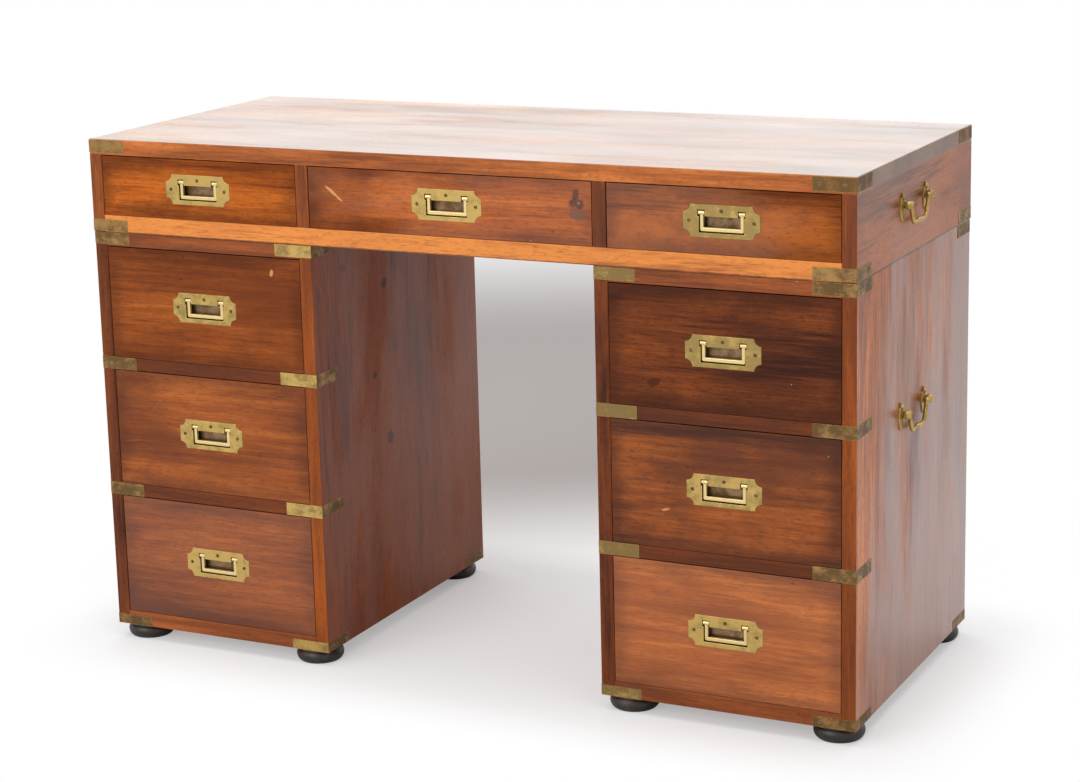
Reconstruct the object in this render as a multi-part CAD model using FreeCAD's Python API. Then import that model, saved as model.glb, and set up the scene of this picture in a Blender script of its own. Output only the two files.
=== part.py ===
import FreeCAD, Part
import math
import os
from collections import namedtuple

# Campaign desk: a box of three frieze drawers on two pedestals of three drawers each, brass bound.
# Millimetres. The origin is on the floor under the middle of the desk, +X to the right, front at -Y.

V = FreeCAD.Vector
Opening = namedtuple("Opening", "x0 x1 z0 z1 face back")

# Whole desk
desk_width = 1180.0
desk_depth = 500.0
pedestal_width = 370.0
pedestal_front_setback = 1.5
pedestal_back_setback = 4.0

# Boards
side_thickness = 20.0
divider_thickness = 20.0
back_thickness = 10.0
top_thickness = 22.5
box_rail_height = 25.0
box_bottom_thickness = 12.0
pedestal_top_thickness = 21.0
pedestal_rail_height = 18.5
pedestal_bottom_thickness = 22.0
rail_depth = 60.0
runner_width = 28.0
edge_round = 0.8
top_round = 1.6

# Clear heights of the drawer openings
frieze_opening = 89.5
upper_opening = 168.0
middle_opening = 176.0
lower_opening = 183.0

# Drawers
drawer_setback = 0.6
drawer_side_gap = 1.0
drawer_top_gap = 1.5
drawer_bottom_gap = 0.4
drawer_back_gap = 0.5
front_thickness = 20.0
drawer_side_thickness = 9.0
drawer_back_thickness = 9.0
drawer_bottom_thickness = 6.0
drawer_bottom_rise = 8.0
drawer_side_drop = 6.0
groove_depth = 4.0
groove_clearance = 0.2
tail_length = 14.0
tail_root_width = 13.0
tail_tip_width = 17.0
tail_pitch = 38.0

# Flush pulls
brass_proud = 0.4
plate_width = 108.0
plate_height = 44.0
plate_thickness = 2.5
plate_corner = 10.0
plate_round = 0.5
well_width = 63.0
well_height = 21.5
well_lowering = 4.7
well_depth = 12.0
cup_wall = 1.5
lug_width = 3.5
mortise_clearance = 0.2

# Bails of the flush pulls
bail_arm = 5.0
bail_bar = 5.4
bail_thickness = 5.0
bail_corner = 2.5
bail_round = 1.0
bail_foot_gap = 1.2
bail_side_play = 0.6
knuckle_width = 9.4
knuckle_radius = 3.6
knuckle_round = 0.8
knuckle_play = 0.4
pivot_depth = 4.2
pivot_rise = 4.6
pivot_pin_radius = 1.5
pivot_pin_length = 3.0
pivot_clearance = 0.05
pivot_end_gap = 0.4

# Corner straps and their screws
strap_leg = 60.0
strap_thickness = 1.6
strap_top_margin = 1.0
strap_top_reveal = 2.5
strap_rail_reveal = 6.5
strap_joint_gap = 1.2
strap_pedestal_reveal = 2.5
strap_foot_reveal = 7.0
strap_screw_start = 16.0
strap_screw_end = 10.0
screw_head_radius = 2.6
screw_proud = 0.15
screw_shank_radius = 1.2
screw_length = 8.0
screw_slot_width = 0.7
screw_slot_depth = 0.6
screw_turn = 35.0
screw_clearance = 0.05

# Carrying handles
carry_spacing = 100.0
carry_forward = 18.0
carry_rise = 3.0
carry_drop = 216.0
carry_standoff = 9.0
rose_half_width = 9.5
rose_above = 11.0
rose_below = 22.0
rose_thickness = 2.0
rose_round = 0.8
rose_step_radius = 7.5
rose_step = 1.0
post_stem_radius = 4.0
post_head_radius = 6.0
post_stud_radius = 3.0
post_stud_cover = 4.0
post_stud_clearance = 0.1
finial_radius = 3.4
finial_standoff = 1.7
finial_length = 7.0
carry_pin_radius = 2.25
carry_pin_clearance = 0.05
carry_bar_radius = 3.0
carry_collar_radius = 4.4
carry_collar_gap = 0.4
carry_depth = 27.0
carry_foot_width = 54.0
carry_bend = 9.0
carry_bead_radius = 4.4
carry_bead_length = 18.0

# Feet
foot_height = 22.0
foot_radius = 35.0
foot_sole_radius = 30.0
foot_neck_radius = 31.0
foot_neck_height = 4.0
foot_inset = 35.0
spigot_radius = 8.0
spigot_length = 12.0
spigot_clearance = 0.2

# Locating pegs between the pedestals and the box
peg_radius = 6.0
peg_height = 8.0
peg_depth = 12.0
peg_clearance = 0.5
peg_spacing = 300.0

# Levels and faces that follow from the sizes above
half_width = desk_width / 2
half_depth = desk_depth / 2
inner_x = half_width - pedestal_width
lower_z = foot_height + pedestal_bottom_thickness
lower_rail_z = lower_z + lower_opening
middle_z = lower_rail_z + pedestal_rail_height
upper_rail_z = middle_z + middle_opening
upper_z = upper_rail_z + pedestal_rail_height
pedestal_top_z = upper_z + upper_opening
joint_z = pedestal_top_z + pedestal_top_thickness
frieze_z = joint_z + box_rail_height
top_z = frieze_z + frieze_opening
desk_height = top_z + top_thickness
pedestal_front = -half_depth + pedestal_front_setback
pedestal_back = half_depth - pedestal_back_setback
pedestal_back_face = pedestal_back - back_thickness
box_back_face = half_depth - back_thickness
box_carry_z = (joint_z + desk_height) / 2 + carry_rise
pedestal_carry_z = joint_z - carry_drop
bail_width = well_width - 2 * bail_side_play
knuckle_x = (bail_width - bail_arm) / 2
pocket_depth = pivot_depth + knuckle_radius + knuckle_play
cup_half_width = knuckle_x + knuckle_width / 2 + knuckle_play + lug_width
post_stud_length = side_thickness - post_stud_cover

# Cutters run past the faces that they open by this much
overrun = 1.0
tolerance = 1e-6


def block(x0, x1, y0, y1, z0, z1):
    """A square board between two corners."""
    low = V(min(x0, x1), min(y0, y1), min(z0, z1))
    return Part.makeBox(abs(x1 - x0), abs(y1 - y0), abs(z1 - z0), low)


def soften(shape, radius, chosen):
    """Rounds the edges whose middle point is chosen."""
    edges = [edge for edge in shape.Edges if chosen(edge.CenterOfMass)]
    return shape.makeFillet(radius, edges)


def near(a, b):
    """Whether two coordinates are the same."""
    return abs(a - b) < tolerance


def soften_front(board, y):
    """Rounds the edges round a board's front face."""
    return soften(board, edge_round, lambda middle: near(middle.y, y))


def cut_all(board, cutters):
    """Takes every cutter that reaches the board out of it."""
    reaching = [c for c in cutters if c.BoundBox.intersect(board.BoundBox)]
    return board.cut(reaching) if reaching else board


def joined(shapes):
    """Several shapes that touch or overlap, as one solid."""
    return shapes[0].fuse(shapes[1:]).removeSplitter()


def mirrored(shape):
    """The same piece on the other side of the desk."""
    return shape.mirror(V(0, 0, 0), V(1, 0, 0))


# Screws

def placed(shape, seat, outward, turn):
    """Stands a shape made along +Z on a seat, along the outward direction."""
    upright = FreeCAD.Rotation(V(0, 0, 1), outward)
    shape.Placement = FreeCAD.Placement(seat, upright * FreeCAD.Rotation(V(0, 0, 1), turn))
    return shape


def screw(seat, outward, head_depth, turn):
    """A slotted screw whose head goes down into the brass from its face."""
    head = Part.makeCylinder(screw_head_radius, head_depth + screw_proud, V(0, 0, -head_depth))
    shank = Part.makeCylinder(screw_shank_radius, screw_length, V(0, 0, -head_depth - screw_length))
    reach = screw_head_radius + overrun
    half = screw_slot_width / 2
    slot = block(-reach, reach, -half, half, screw_proud - screw_slot_depth, screw_proud + overrun)
    return placed(joined([head, shank]).cut(slot), seat, outward, turn)


def screw_hole(seat, outward, head_depth):
    """The hole for a screw, through the brass and into the wood."""
    head = Part.makeCylinder(
        screw_head_radius + screw_clearance, head_depth + overrun, V(0, 0, -head_depth)
    )
    depth = screw_length + screw_clearance
    shank = Part.makeCylinder(screw_shank_radius + screw_clearance, depth, V(0, 0, -head_depth - depth))
    return placed(joined([head, shank]), seat, outward, 0)


# Corner straps

def strap_plate(corner_x, corner_y, side_x, side_y, z0, height):
    """A brass angle round one corner, let into both faces."""
    out_x = corner_x + side_x * brass_proud
    out_y = corner_y + side_y * brass_proud
    end_x = corner_x - side_x * strap_leg
    end_y = corner_y - side_y * strap_leg
    face_leg = block(out_x, end_x, out_y, out_y - side_y * strap_thickness, z0, z0 + height)
    side_leg = block(out_x, out_x - side_x * strap_thickness, out_y, end_y, z0, z0 + height)
    angle = joined([face_leg, side_leg])
    return soften(angle, edge_round, lambda m: near(m.x, out_x) and near(m.y, out_y))


def strap_seats(corner_x, corner_y, side_x, side_y, z_mid):
    """Where the screws of one strap stand, and which way they face."""
    seats = []
    for along in (strap_screw_start, strap_leg - strap_screw_end):
        face_seat = V(corner_x - side_x * along, corner_y + side_y * brass_proud, z_mid)
        side_seat = V(corner_x + side_x * brass_proud, corner_y - side_y * along, z_mid)
        seats.append((face_seat, V(0, side_y, 0)))
        seats.append((side_seat, V(side_x, 0, 0)))
    return seats


def strap(corner_x, corner_y, side_x, side_y, z0, height):
    """One strap with its screws, and the shapes that make room for them in the wood."""
    plate = strap_plate(corner_x, corner_y, side_x, side_y, z0, height)
    seats = strap_seats(corner_x, corner_y, side_x, side_y, z0 + height / 2)
    holes = [screw_hole(seat, outward, strap_thickness) for seat, outward in seats]
    screws = []
    for number, (seat, outward) in enumerate(seats):
        screws.append(screw(seat, outward, strap_thickness, screw_turn * number))
    return [plate.cut(holes)] + screws, [plate] + holes


def strap_set(places):
    """All straps of one section, and all their cutters."""
    pieces = []
    cutters = []
    for place in places:
        brass, room = strap(*place)
        pieces += brass
        cutters += room
    return pieces, cutters


def box_strap_places():
    """Upper and lower straps at the box's four corners."""
    upper = (top_z + strap_top_reveal, top_thickness - strap_top_reveal - strap_top_margin)
    lower = (joint_z + strap_joint_gap, box_rail_height - strap_rail_reveal - strap_joint_gap)
    places = []
    for side_x in (-1, 1):
        for side_y in (-1, 1):
            corner = (side_x * half_width, side_y * half_depth, side_x, side_y)
            places += [corner + upper, corner + lower]
    return places


def pedestal_strap_places():
    """Straps at every rail in front, and at the top and bottom behind, on the right pedestal."""
    upper_height = pedestal_top_thickness - strap_pedestal_reveal - strap_joint_gap
    upper = (pedestal_top_z + strap_pedestal_reveal, upper_height)
    lower = (foot_height, pedestal_bottom_thickness - strap_foot_reveal)
    ends = [upper, lower]
    rails = [(z, pedestal_rail_height) for z in (lower_rail_z, upper_rail_z)]
    places = []
    for corner_x, side_x in ((inner_x, -1), (half_width, 1)):
        places += [(corner_x, pedestal_front, side_x, -1) + level for level in ends + rails]
        places += [(corner_x, pedestal_back, side_x, 1) + level for level in ends]
    return places


# Flush pulls

def plate_outline(width, height, corner, y):
    """A rectangle whose corners are cut in by quarter circles."""
    w = width / 2
    h = height / 2
    edges = []
    for turn in range(4):
        long, short = (w, h) if turn % 2 == 0 else (h, w)
        start = V(-long + corner, 0, -short)
        end = V(long - corner, 0, -short)
        diagonal = corner / math.sqrt(2)
        bite = V(long - diagonal, 0, -short + diagonal)
        finish = V(long, 0, -short + corner)
        side = [Part.LineSegment(start, end).toShape(), Part.Arc(end, bite, finish).toShape()]
        for edge in side:
            edge.rotate(V(0, 0, 0), V(0, -1, 0), 90 * turn)
        edges += side
    outline = Part.Wire(Part.__sortEdges__(edges))
    outline.translate(V(0, y, 0))
    return Part.Face(outline)


def pull_places(x, z, y):
    """Seats of a pull's screws on the plate's face: left, right and above the well."""
    side = (plate_width / 2 + cup_half_width) / 2
    well_top = well_height / 2 - well_lowering
    high = (plate_height / 2 + well_top) / 2
    return [V(x - side, y, z), V(x + side, y, z), V(x, y, z + high)]


def pivot_of(x, z, face):
    """The middle of a pull's hinge line."""
    well_top = z - well_lowering + well_height / 2
    return V(x, face - brass_proud + pivot_depth, well_top + pivot_rise)


def cup_block(x, z, face, margin):
    """The outside of the cup behind a plate, made larger all round by a margin."""
    pivot = pivot_of(x, z, face)
    half = cup_half_width + margin
    low = z - well_lowering - well_height / 2 - cup_wall - margin
    high = pivot.z + knuckle_radius + knuckle_play + cup_wall + margin
    plate_face = face - brass_proud
    return block(x - half, x + half, plate_face, plate_face + well_depth + cup_wall + margin, low, high)


def pull_mortise(x, z, face):
    """The pocket in the drawer front that takes the plate and its cup."""
    plate_face = face - brass_proud
    outline = plate_outline(
        plate_width + 2 * mortise_clearance, plate_height + 2 * mortise_clearance, plate_corner, plate_face
    )
    outline.translate(V(x, 0, z))
    return [outline.extrude(V(0, plate_thickness, 0)), cup_block(x, z, face, mortise_clearance)]


def pull_hollows(x, z, face):
    """The finger well and the two pockets above it, where the bail's knuckles turn."""
    plate_face = face - brass_proud
    pivot = pivot_of(x, z, face)
    top = pivot.z - pivot_rise
    half = well_width / 2
    hollows = [block(x - half, x + half, plate_face, plate_face + well_depth, top - well_height, top)]
    reach = knuckle_width / 2 + knuckle_play
    high = pivot.z + knuckle_radius + knuckle_play
    for side in (-1, 1):
        middle = x + side * knuckle_x
        pocket_back = plate_face + pocket_depth
        hollows.append(block(middle - reach, middle + reach, plate_face, pocket_back, top, high))
    return hollows


def pivot_bores(x, z, face):
    """Holes in the cup's side lugs for the bail's pins."""
    pivot = pivot_of(x, z, face)
    radius = pivot_pin_radius + pivot_clearance
    start = knuckle_x + knuckle_width / 2
    length = pivot_pin_length + pivot_end_gap
    bores = []
    for side in (-1, 1):
        mouth = pivot + V(side * start, 0, 0)
        bores.append(Part.makeCylinder(radius, length, mouth, V(side, 0, 0)))
    return bores


def pull(x, z, face):
    """Plate, cup and lugs in one casting, with its screws."""
    plate_face = face - brass_proud
    outline = plate_outline(plate_width, plate_height, plate_corner, plate_face)
    outline.translate(V(x, 0, z))
    plate = outline.extrude(V(0, plate_thickness, 0))
    casting = joined([plate, cup_block(x, z, face, 0)]).cut(joined(pull_hollows(x, z, face)))
    casting = soften(casting, plate_round, lambda m: near(m.y, plate_face))
    outward = V(0, -1, 0)
    seats = pull_places(x, z, plate_face)
    holes = [screw_hole(seat, outward, plate_thickness) for seat in seats]
    pieces = [casting.cut(holes + pivot_bores(x, z, face))]
    for number, seat in enumerate(seats):
        pieces.append(screw(seat, outward, plate_thickness, screw_turn * (number + 1)))
    return pieces, holes


def pull_bail(x, z, face):
    """The U-shaped bail of a flush pull, with round knuckles and pivot pins."""
    pivot = pivot_of(x, z, face)
    half = bail_width / 2
    low = pivot.z - pivot_rise - well_height + bail_foot_gap
    front = pivot.y - bail_thickness / 2
    back = pivot.y + bail_thickness / 2
    outside = block(x - half, x + half, front, back, low, pivot.z)
    outside = soften(outside, bail_corner, lambda m: near(m.z, low) and near(abs(m.x - x), half))
    arm = half - bail_arm
    hollow = block(x - arm, x + arm, front, back, low + bail_bar, pivot.z)
    frame = outside.cut(hollow)
    frame = soften(frame, bail_round, lambda m: not near(m.y, pivot.y) and not near(m.z, pivot.z))
    pieces = [frame]
    for side in (-1, 1):
        inner = pivot + V(side * (knuckle_x - knuckle_width / 2), 0, 0)
        outward = V(side, 0, 0)
        knuckle = Part.makeCylinder(knuckle_radius, knuckle_width, inner, outward)
        ends = (inner.x, inner.x + side * knuckle_width)
        pieces.append(soften(knuckle, knuckle_round, lambda m: near(m.x, ends[0]) or near(m.x, ends[1])))
        pin_start = inner + V(side * knuckle_width, 0, 0)
        pieces.append(Part.makeCylinder(pivot_pin_radius, pivot_pin_length, pin_start, outward))
    return joined(pieces)


# Drawers

def drawer_box(opening):
    """Outer limits of a drawer in its opening."""
    return Opening(
        opening.x0 + drawer_side_gap,
        opening.x1 - drawer_side_gap,
        opening.z0 + drawer_bottom_gap,
        opening.z1 - drawer_top_gap,
        opening.face + drawer_setback,
        opening.back - drawer_back_gap,
    )


def dovetail(x0, x1, y_root, z_mid):
    """One tail of a drawer side, wider at its tip, reaching into the drawer front."""
    tip = y_root - tail_length
    points = [
        V(x0, y_root, z_mid - tail_root_width / 2),
        V(x0, tip, z_mid - tail_tip_width / 2),
        V(x0, tip, z_mid + tail_tip_width / 2),
        V(x0, y_root, z_mid + tail_root_width / 2),
    ]
    face = Part.Face(Part.makePolygon(points + points[:1]))
    return face.extrude(V(x1 - x0, 0, 0))


def dovetails(x0, x1, y_root, z0, z1):
    """A row of tails, as many as the height takes."""
    count = max(1, int((z1 - z0) // tail_pitch))
    step = (z1 - z0) / count
    return [dovetail(x0, x1, y_root, z0 + step * (i + 0.5)) for i in range(count)]


def bottom_panel(d, grown):
    """The panel that slides into the grooves of front and sides, or its groove if grown."""
    edge = drawer_side_thickness - groove_depth
    z0 = d.z0 + drawer_bottom_rise
    return block(
        d.x0 + edge - grown,
        d.x1 - edge + grown,
        d.face + front_thickness - groove_depth - grown,
        d.back + grown,
        z0 - grown,
        z0 + drawer_bottom_thickness + grown,
    )


def drawer(opening):
    """All pieces of one drawer, by the last word of their node names."""
    d = drawer_box(opening)
    root = d.face + front_thickness
    rim = d.z1 - drawer_side_drop
    groove = bottom_panel(d, groove_clearance)
    tails = []
    sides = []
    for x0, x1 in ((d.x0, d.x0 + drawer_side_thickness), (d.x1 - drawer_side_thickness, d.x1)):
        row = dovetails(x0, x1, root, d.z0, rim)
        board = joined([block(x0, x1, root, d.back, d.z0, rim)] + row)
        sides.append(board.cut(groove))
        tails += row
    back = block(
        d.x0 + drawer_side_thickness,
        d.x1 - drawer_side_thickness,
        d.back - drawer_back_thickness,
        d.back,
        d.z0 + drawer_bottom_rise + drawer_bottom_thickness,
        rim,
    )
    x = (d.x0 + d.x1) / 2
    z = (d.z0 + d.z1) / 2
    brass, holes = pull(x, z, d.face)
    front = soften_front(block(d.x0, d.x1, d.face, root, d.z0, d.z1), d.face)
    front = front.cut(tails + [groove] + pull_mortise(x, z, d.face) + holes)
    return {
        "front": [front],
        "box": sides + [back, bottom_panel(d, 0)],
        "pull": brass,
        "bail": [pull_bail(x, z, d.face)],
    }


# Carrying handles

def carry_rose(y, z):
    """The oval plate behind a post on the right end, with its rim rounded."""
    middle = V(half_width, y, z + (rose_above - rose_below) / 2)
    top = V(half_width, y, z + rose_above)
    oval = Part.Ellipse(top, middle + V(0, rose_half_width, 0), middle)
    plate = Part.Face(Part.Wire(oval.toShape())).extrude(V(rose_thickness, 0, 0))
    return soften(plate, rose_round, lambda m: near(m.x, half_width + rose_thickness))


def carry_post(y, z):
    """A post on the right end: oval rose with a pointed finial, stem, bored ball head and stud."""
    out = V(1, 0, 0)
    face = half_width
    step = Part.makeCylinder(rose_step_radius, rose_thickness + rose_step, V(face, y, z), out)
    stem = Part.makeCylinder(post_stem_radius, carry_standoff, V(face, y, z), out)
    stud = Part.makeCylinder(post_stud_radius, post_stud_length, V(face, y, z), -out)
    head = Part.makeSphere(post_head_radius, V(face + carry_standoff, y, z))
    root = V(face + finial_standoff, y, z + rose_above)
    bead = Part.makeSphere(finial_radius, root)
    point = Part.makeCone(finial_radius, 0, finial_length, root, V(0, 0, 1))
    tip_z = root.z + finial_length
    wood = block(face - finial_radius, face, y - finial_radius, y + finial_radius, z, tip_z)
    finial = bead.fuse(point).cut(wood)
    post = joined([carry_rose(y, z), step, stem, stud, head, finial])
    reach = post_head_radius + overrun
    bore_start = V(face + carry_standoff, y - reach, z)
    bore = Part.makeCylinder(carry_pin_radius + carry_pin_clearance, 2 * reach, bore_start, V(0, 1, 0))
    return post.cut(bore)


def stud_hole(y, z):
    """The hole in the right-hand side board for a post's stud."""
    radius = post_stud_radius + post_stud_clearance
    return Part.makeCylinder(radius, post_stud_length + post_stud_clearance, V(half_width, y, z), V(-1, 0, 0))


def carry_path():
    """The front half of a hanging bail: an arm that leans inward, a bend and the level middle."""
    start = V(0, -(carry_spacing / 2 - post_head_radius - carry_collar_gap - carry_collar_radius), 0)
    corner = V(0, -carry_foot_width / 2, -carry_depth)
    arm = (corner - start).normalize()
    level = V(0, 1, 0)
    turn = arm.getAngle(level)
    tangent = carry_bend * math.tan(turn / 2)
    bend_start = corner - arm * tangent
    bend_end = corner + level * tangent
    inward = (level - arm).normalize()
    centre = corner + inward * (carry_bend / math.cos(turn / 2))
    bend_middle = centre - inward * carry_bend
    return [
        Part.LineSegment(start, bend_start).toShape(),
        Part.Arc(bend_start, bend_middle, bend_end).toShape(),
        Part.LineSegment(bend_end, V(0, 0, -carry_depth)).toShape(),
    ]


def carry_bail(y, z):
    """A swinging carrying bail on the right end, with its collars, pins and middle swelling."""
    path = carry_path()
    start = path[0].firstVertex().Point
    direction = path[0].tangentAt(path[0].FirstParameter)
    section = Part.Wire(Part.makeCircle(carry_bar_radius, start, direction))
    half = Part.Wire(path).makePipeShell([section], True, False)
    bead = Part.makeSphere(carry_bead_radius)
    stretch = FreeCAD.Matrix()
    stretch.scale(1, carry_bead_length / (2 * carry_bead_radius), 1)
    bead = bead.transformGeometry(stretch)
    bead.translate(V(0, 0, -carry_depth))
    pin_length = carry_collar_radius + carry_collar_gap + 2 * post_head_radius
    pieces = [half, half.mirror(V(0, 0, 0), V(0, 1, 0)), bead]
    for side in (-1, 1):
        collar = V(0, -side * start.y, 0)
        pieces.append(Part.makeSphere(carry_collar_radius, collar))
        pieces.append(Part.makeCylinder(carry_pin_radius, pin_length, collar, V(0, side, 0)))
    bail = joined(pieces)
    bail.translate(V(half_width + carry_standoff, y, z))
    return bail


def carry_handle(z):
    """Posts, stud holes and bail of one carrying handle on the right end."""
    middle = -carry_forward
    ends = [middle - carry_spacing / 2, middle + carry_spacing / 2]
    posts = [carry_post(y, z) for y in ends]
    holes = [stud_hole(y, z) for y in ends]
    return posts, holes, carry_bail(middle, z)


# Box

def box_openings():
    """The middle and right frieze drawer openings."""
    outer = half_width - side_thickness
    middle = Opening(-inner_x, inner_x, frieze_z, top_z, -half_depth, box_back_face)
    right = Opening(inner_x + divider_thickness, outer, frieze_z, top_z, -half_depth, box_back_face)
    return middle, right


def pegs_at(z0, z1, radius):
    """Peg shapes on the right pedestal between two levels."""
    x = half_width - pedestal_width / 2
    height = z1 - z0
    return [Part.makeCylinder(radius, height, V(x, y, z0)) for y in (-peg_spacing / 2, peg_spacing / 2)]


def peg_holes():
    """Holes for the pegs of both pedestals in the box bottom."""
    right = pegs_at(joint_z, joint_z + peg_height + peg_clearance, peg_radius + peg_clearance)
    return right + [mirrored(hole) for hole in right]


def box_runners():
    """Strips that lift the frieze drawers from the bottom board to the rail: at each end and divider."""
    z0 = joint_z + box_bottom_thickness
    rail_back = -half_depth + rail_depth
    end = half_width - side_thickness
    middle = inner_x + divider_thickness / 2
    wide = divider_thickness / 2 + runner_width
    strips = []
    for x0, x1 in ((end - runner_width, end), (middle - wide, middle + wide)):
        strip = block(x0, x1, rail_back, box_back_face, z0, frieze_z)
        strips += [strip, mirrored(strip)]
    return strips


def box_pieces():
    """The box that lies on the pedestals, without its drawers."""
    straps, cutters = strap_set(box_strap_places())
    posts, holes, bail = carry_handle(box_carry_z)
    front = -half_depth
    inside = half_width - side_thickness
    rail_back = front + rail_depth
    top = block(-half_width, half_width, front, half_depth, top_z, desk_height)
    top = soften(top, top_round, lambda m: near(m.z, desk_height) or near(m.z, (top_z + desk_height) / 2))
    side = soften_front(block(inside, half_width, front, half_depth, joint_z, top_z), front)
    side = cut_all(side, cutters + holes)
    rail = soften_front(block(-inside, inside, front, rail_back, joint_z, frieze_z), front)
    divider = block(inner_x, inner_x + divider_thickness, front, box_back_face, frieze_z, top_z)
    divider = soften_front(divider, front)
    back = block(-inside, inside, box_back_face, half_depth, joint_z, top_z)
    bottom_top = joint_z + box_bottom_thickness
    bottom = block(-inside, inside, rail_back, box_back_face, joint_z, bottom_top)
    return {
        "top_board": [cut_all(top, cutters)],
        "box_sides": [mirrored(side), side],
        "box_back": [cut_all(back, cutters)],
        "box_bottom": [cut_all(bottom, cutters + peg_holes())],
        "box_front_frame": [cut_all(rail, cutters), mirrored(divider), divider],
        "box_runners": box_runners(),
        "box_straps": straps,
        "box_handle_posts": [mirrored(post) for post in posts] + posts,
        "box_left_carry_bail": [mirrored(bail)],
        "box_right_carry_bail": [bail],
    }


# Pedestals

def pedestal_openings():
    """The right pedestal's drawer openings by name."""
    x0 = inner_x + side_thickness
    x1 = half_width - side_thickness
    levels = {
        "upper": (upper_z, pedestal_top_z),
        "middle": (middle_z, upper_rail_z),
        "lower": (lower_z, lower_rail_z),
    }
    return {
        name: Opening(x0, x1, z0, z1, pedestal_front, pedestal_back_face)
        for name, (z0, z1) in levels.items()
    }


def pedestal_frame(x0, x1, cutters):
    """Two rails across the front and two runners behind each of them."""
    rail_back = pedestal_front + rail_depth
    pieces = []
    for z0 in (lower_rail_z, upper_rail_z):
        z1 = z0 + pedestal_rail_height
        rail = soften_front(block(x0, x1, pedestal_front, rail_back, z0, z1), pedestal_front)
        pieces.append(cut_all(rail, cutters))
        for near_x, far_x in ((x0, x0 + runner_width), (x1 - runner_width, x1)):
            pieces.append(block(near_x, far_x, rail_back, pedestal_back_face, z0, z1))
    return pieces


def foot_centres():
    """Middles of the right pedestal's four feet."""
    xs = (inner_x + foot_inset, half_width - foot_inset)
    ys = (pedestal_front + foot_inset, pedestal_back - foot_inset)
    return [(x, y) for x in xs for y in ys]


def foot(x, y):
    """A turned bun foot with a spigot."""
    swell = (foot_height - foot_neck_height) / 2
    sole = V(foot_sole_radius, 0, 0)
    bulge = V(foot_radius, 0, swell)
    shoulder = V(foot_neck_radius, 0, foot_height - foot_neck_height)
    neck = V(foot_neck_radius, 0, foot_height)
    tip = foot_height + spigot_length
    corners = [neck, V(spigot_radius, 0, foot_height), V(spigot_radius, 0, tip), V(0, 0, tip), V(0, 0, 0), sole]
    edges = [Part.Arc(sole, bulge, shoulder).toShape(), Part.LineSegment(shoulder, neck).toShape()]
    for start, end in zip(corners, corners[1:]):
        edges.append(Part.LineSegment(start, end).toShape())
    turned = Part.Face(Part.Wire(edges)).revolve(V(0, 0, 0), V(0, 0, 1), 360)
    turned.translate(V(x, y, 0))
    return turned


def spigot_holes():
    """Holes for the feet in the right pedestal's bottom board."""
    depth = spigot_length + spigot_clearance
    radius = spigot_radius + spigot_clearance
    return [Part.makeCylinder(radius, depth, V(x, y, foot_height)) for x, y in foot_centres()]


def pedestal_boards(x0, x1, cutters):
    """Top, bottom and back boards between the sides, and the locating pegs."""
    front = pedestal_front
    top = soften_front(block(x0, x1, front, pedestal_back_face, pedestal_top_z, joint_z), front)
    bottom = soften_front(block(x0, x1, front, pedestal_back_face, foot_height, lower_z), front)
    back = block(x0, x1, pedestal_back_face, pedestal_back, foot_height, joint_z)
    pegs = pegs_at(joint_z - peg_depth, joint_z + peg_height, peg_radius)
    return [
        cut_all(top, cutters + pegs),
        cut_all(bottom, cutters + spigot_holes()),
        cut_all(back, cutters),
    ] + pegs


def pedestal_pieces():
    """The right pedestal without its drawers."""
    straps, cutters = strap_set(pedestal_strap_places())
    posts, holes, bail = carry_handle(pedestal_carry_z)
    x0 = inner_x + side_thickness
    x1 = half_width - side_thickness
    sides = []
    for near_x, far_x in ((inner_x, x0), (x1, half_width)):
        side = block(near_x, far_x, pedestal_front, pedestal_back, foot_height, joint_z)
        sides.append(cut_all(soften_front(side, pedestal_front), cutters + holes))
    return {
        "sides": sides,
        "boards": pedestal_boards(x0, x1, cutters),
        "rails_and_runners": pedestal_frame(x0, x1, cutters),
        "feet": [foot(x, y) for x, y in foot_centres()],
        "straps": straps,
        "handle_posts": posts,
        "carry_bail": [bail],
    }


# Whole desk

def both_sides(pattern, pieces):
    """Names the pieces of a right-hand group and mirrors them for the left."""
    nodes = {}
    for word, solids in pieces.items():
        nodes[pattern.format("right", word)] = solids
        nodes[pattern.format("left", word)] = [mirrored(solid) for solid in solids]
    return nodes


def desk():
    """Every node of the desk and the solids in it."""
    nodes = box_pieces()
    middle, right = box_openings()
    for word, solids in drawer(middle).items():
        nodes["frieze_middle_" + word] = solids
    nodes.update(both_sides("frieze_{}_{}", drawer(right)))
    nodes.update(both_sides("{}_pedestal_{}", pedestal_pieces()))
    for level, opening in pedestal_openings().items():
        nodes.update(both_sides("{}_" + level + "_{}", drawer(opening)))
    return nodes


def main():
    os.makedirs("parts", exist_ok=True)
    nodes = desk()
    for name, solids in sorted(nodes.items()):
        shape = solids[0] if len(solids) == 1 else Part.makeCompound(solids)
        shape.exportStep(os.path.join("parts", name + ".step"))
    print(len(nodes), "nodes", sum(len(solids) for solids in nodes.values()), "solids")


main()
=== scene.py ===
import math
from collections import namedtuple

import bpy
from mathutils import Matrix, Vector


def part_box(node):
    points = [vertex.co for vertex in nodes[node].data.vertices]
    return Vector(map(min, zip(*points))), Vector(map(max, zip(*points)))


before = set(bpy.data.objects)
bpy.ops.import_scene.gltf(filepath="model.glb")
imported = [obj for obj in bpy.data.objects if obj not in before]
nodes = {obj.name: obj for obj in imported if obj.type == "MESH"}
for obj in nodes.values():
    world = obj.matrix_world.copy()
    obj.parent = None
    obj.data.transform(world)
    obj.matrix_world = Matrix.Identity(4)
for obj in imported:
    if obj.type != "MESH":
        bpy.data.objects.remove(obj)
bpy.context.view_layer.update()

# Campaign desk: finishes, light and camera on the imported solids. Metres, +Z up, front at -Y.

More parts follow.
